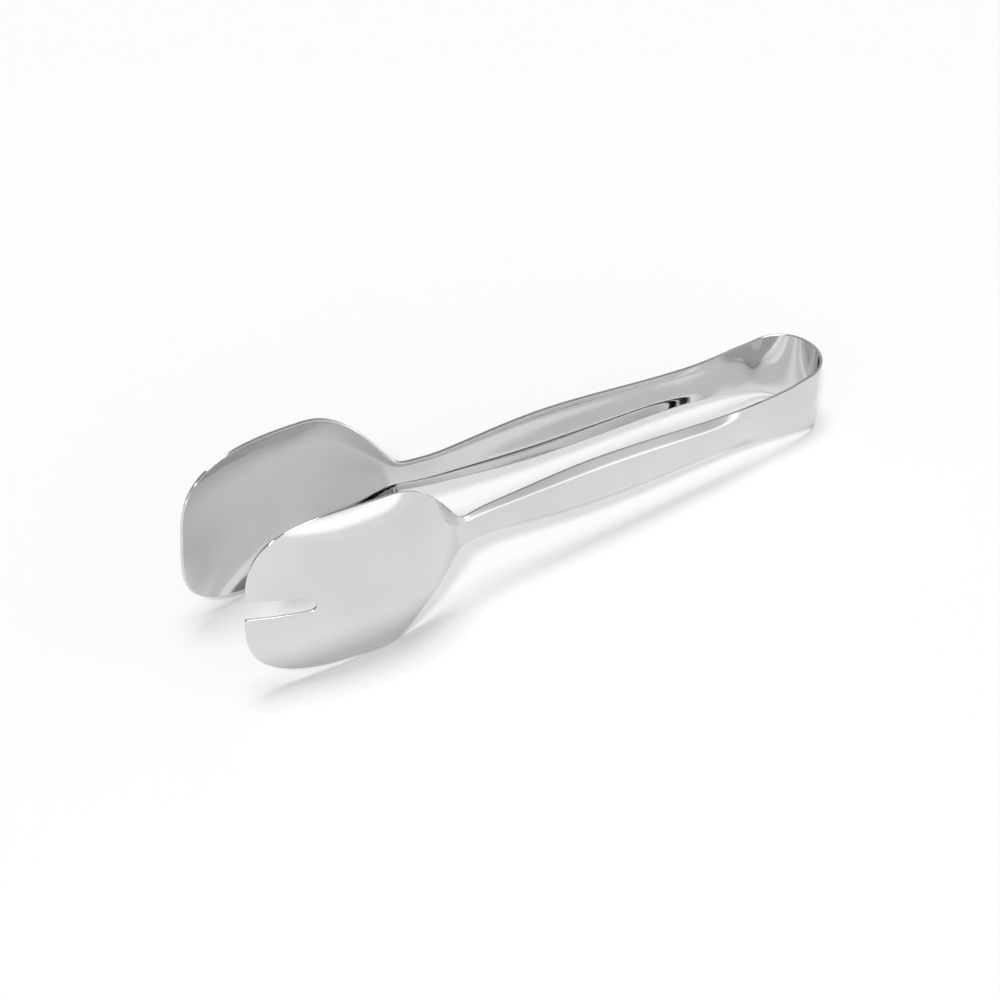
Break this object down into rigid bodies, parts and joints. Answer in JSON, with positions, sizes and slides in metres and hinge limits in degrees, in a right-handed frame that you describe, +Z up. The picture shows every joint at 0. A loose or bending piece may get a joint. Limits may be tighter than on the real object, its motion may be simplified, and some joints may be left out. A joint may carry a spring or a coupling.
{
  "type": "serving tongs",
  "caption": "Serving tongs bent from a strip of polished steel, with a round springy bow, channelled handles, and a spoon bowl that faces a slotted fork bowl.",
  "frame": {"origin": "on the floor that the tongs lie on, in the middle of their bounding box", "axes": "+X towards the bow, along the tongs; +Y towards the spoon arm; +Z up, as the tongs lie on one edge of the bow and the lower rims of both bowls"},
  "size_m": [0.2114, 0.0552, 0.052],
  "materials": {
    "steel": "mirror-polished stainless steel"
  },
  "bodies": {
    "root": {"bow": "steel"},
    "spoon_arm": {"spoon_shoulder": "steel", "spoon_handle": "steel", "spoon_neck": "steel", "spoon_bowl": "steel"},
    "fork_arm": {"fork_shoulder": "steel", "fork_handle": "steel", "fork_neck": "steel", "fork_bowl": "steel"}
  },
  "joints": [
    {"name": "spoon_arm_flex", "type": "hinge", "parent": "root", "child": "spoon_arm", "pos_m": [0.09327, 0.0122, 0.01251], "axis": [0.0826, 0, 0.9966], "range_deg": [0, 4.7], "stiffness_Nm_per_rad": 10},
    {"name": "fork_arm_flex", "type": "hinge", "parent": "root", "child": "fork_arm", "pos_m": [0.09327, -0.0122, 0.01251], "axis": [-0.0826, 0, -0.9966], "range_deg": [0, 4.7], "stiffness_Nm_per_rad": 10}
  ],
  "couplings": [
    {"joint": "fork_arm_flex", "follows": "spoon_arm_flex", "ratio": 1}
  ]
}
